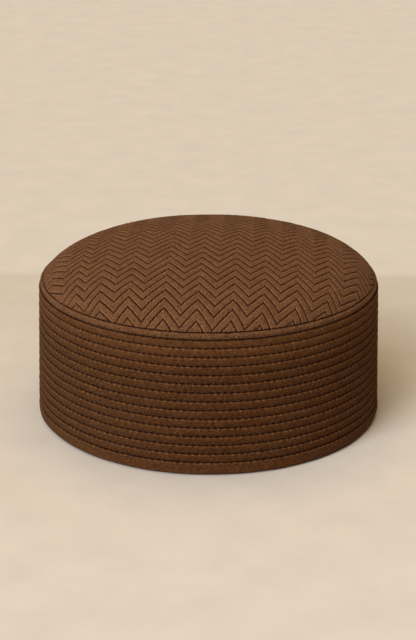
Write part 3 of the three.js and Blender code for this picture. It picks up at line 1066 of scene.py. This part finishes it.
def turned_cloth(name, section, columns, shape):
    """Turns a closed section of [radius, height] points round the cap's axis. A shape function
    gives each point's offset outwards, and the cloth's map runs round the cap from the back."""
    section = np.array(section)
    count = len(section)
    angles = np.arange(columns) * (2 * math.pi / columns)
    around, points = np.meshgrid(angles, np.arange(count), indexing="ij")
    radius = section[points, 0] + shape(around, section[points, 0], section[points, 1])
    verts = np.stack([-radius * np.sin(around), radius * np.cos(around), section[points, 1]], -1)
    grid = np.arange(columns * count).reshape(columns, count)
    after = np.roll(grid, -1, axis=0)
    faces = np.stack([grid, after, np.roll(after, -1, axis=1), np.roll(grid, -1, axis=1)], -1)
    mesh = bpy.data.meshes.new(name)
    mesh.from_pydata(verts.reshape(-1, 3).tolist(), [], faces.reshape(-1, 4).tolist())
    bm = bmesh.new()
    bm.from_mesh(mesh)
    layer = bm.loops.layers.uv.new("cloth")
    for face in bm.faces:
        face.smooth = True
        level_uv(face, layer)
    bmesh.ops.recalc_face_normals(bm, faces=bm.faces)
    bm.to_mesh(mesh)
    bm.free()
    piece = bpy.data.objects.new(name, mesh)
    bpy.context.collection.objects.link(piece)
    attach(piece, "root")
    return piece


def hem_section():
    """The fold's round underside, its belly up to the row of stitches, and its flat inside"""
    top = HEM_HEIGHT - HEM_GAP
    points = []
    belly = groove_radius(FOLD_HEIGHT) + RIB_PUFF
    for step in range(HEM_STEPS + 1):
        turn = step / HEM_STEPS * math.pi / 2
        across = FOLD_RADIUS + (belly - FOLD_RADIUS) * math.sin(turn)
        points.append((across, FOLD_HEIGHT * (1 - math.cos(turn))))
    for step in range(1, HEM_STEPS + 1):
        share = math.sin(step / HEM_STEPS * math.pi / 2)
        height = FOLD_HEIGHT + (top - FOLD_HEIGHT) * share
        puff = RIB_PUFF * (1 - share**SHOULDER_SQUARENESS) ** SHOULDER_FULLNESS
        points.append((groove_radius(height) + puff, height))
    inside = [
        (groove_radius(height) - HEM_THICKNESS, height) for height in (top, top / 2, FOLD_HEIGHT / 4)
    ]
    return points + inside + [(FOLD_RADIUS - FOLD_LIP, 0)]


def hem_pucker(angle, radius, height):
    """Puckers under the row of stitches and a slow ripple, on the outside above the floor"""
    wave = np.cos(angle * BAND_STITCHES)
    outside = radius > inner_radius(height) + CLOTH_THICKNESS / 2
    near_row = np.exp((height - HEM_HEIGHT) / HEM_PUCKER_WIDTH) * outside
    slow = sum(np.sin(angle * turns + start + height * climb) for turns, start, climb in HEM_WAVES)
    free = outside * (height > FOLD_LIP)
    return -HEM_PUCKER * wave * near_row + HEM_RIPPLE * slow * free


hem = turned_cloth("bottom_hem_cloth", hem_section(), HEM_COLUMNS, hem_pucker)
hem.data.materials.append(band_cloth)
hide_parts("bottom_hem")

# The piping is a soft cord wrapped in the same cloth and sewn in between the crown and the band.
# Its cover is drawn round the cap's edge and creases a little across.

PIPING_COLOUR = (0.166, 0.0730, 0.0305)
PIPING_COLUMNS = 720
PIPING_POINTS = 22
SEAM_PRESS = 0.45 * MM
# In radians, how far past the seam the press is deepest, and how wide it is
PRESS_BEYOND = 0.25
PRESS_WIDTH = 0.35
PIPING_CREASE = 0.07 * MM
PIPING_RIPPLE = 0.06 * MM
CREASES_ROUND = 173
CREASE_WANDER = 3
WANDERS_ROUND = 11
GROUPS_ROUND = 31
GROUP_SLANT = 500
# Each slow wave's number of turns round the cap, and its start
PIPING_WAVES = [(5, 2), (13, 0)]


def piping_section():
    """A circle, pressed in under the crown's edge, where the seam runs"""
    points = []
    for point in range(PIPING_POINTS):
        turn = point / PIPING_POINTS * 2 * math.pi
        pressed = math.exp(-(((turn - SEAM_ANGLE - PRESS_BEYOND) / PRESS_WIDTH) ** 2))
        half = PIPING_DIAMETER / 2 - SEAM_PRESS * pressed
        points.append((PIPING_RADIUS + half * math.cos(turn), PIPING_Z + half * math.sin(turn)))
    return points


def piping_creases(angle, radius, height):
    """Small creases across the cord that come and go round the cap, and a slow ripple"""
    across = np.sin(angle * CREASES_ROUND + CREASE_WANDER * np.sin(angle * WANDERS_ROUND))
    come_and_go = np.sin(angle * GROUPS_ROUND + height * GROUP_SLANT)
    slow = sum(np.sin(angle * turns + start) for turns, start in PIPING_WAVES)
    return PIPING_CREASE * (across * come_and_go) + PIPING_RIPPLE * slow


piping = turned_cloth("edge_piping_cloth", piping_section(), PIPING_COLUMNS, piping_creases)
piping_cloth = cloth_material("piping_cloth", PIPING_COLOUR, grain_strength=2.7)
piping.data.materials.append(piping_cloth)
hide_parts("edge_piping")
